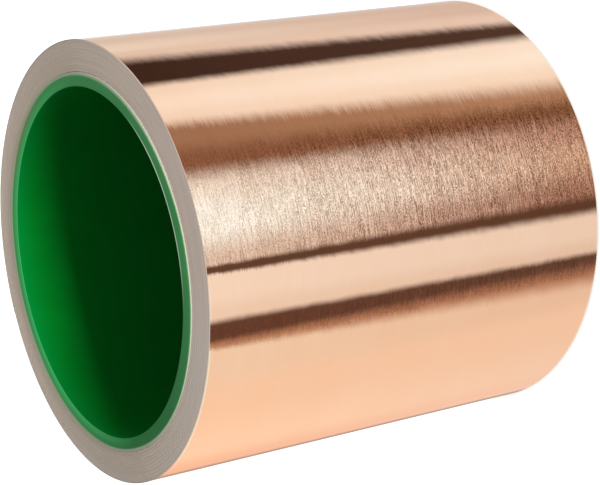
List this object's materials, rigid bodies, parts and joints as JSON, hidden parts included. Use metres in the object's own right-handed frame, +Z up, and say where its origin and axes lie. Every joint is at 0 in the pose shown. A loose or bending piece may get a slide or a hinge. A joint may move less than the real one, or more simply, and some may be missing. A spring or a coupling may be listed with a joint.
{
  "type": "copper foil tape roll",
  "caption": "Roll of wide adhesive copper foil tape wound on a green plastic tube core, standing on end, with an open bore for a dispenser hub.",
  "frame": {"origin": "centre of the bounding box's underside: on the roll's axis, on the floor that the core stands on", "axes": "+Z up along the roll's axis, out of the end that the picture shows; X and Y are alike"},
  "size_m": [0.0964, 0.0964, 0.101],
  "materials": {
    "core": "green extruded plastic, satin, with cut ends",
    "tape_winding": null
  },
  "bodies": {
    "root": {"core": "core", "tape_winding": "tape_winding"}
  },
  "joints": []
}
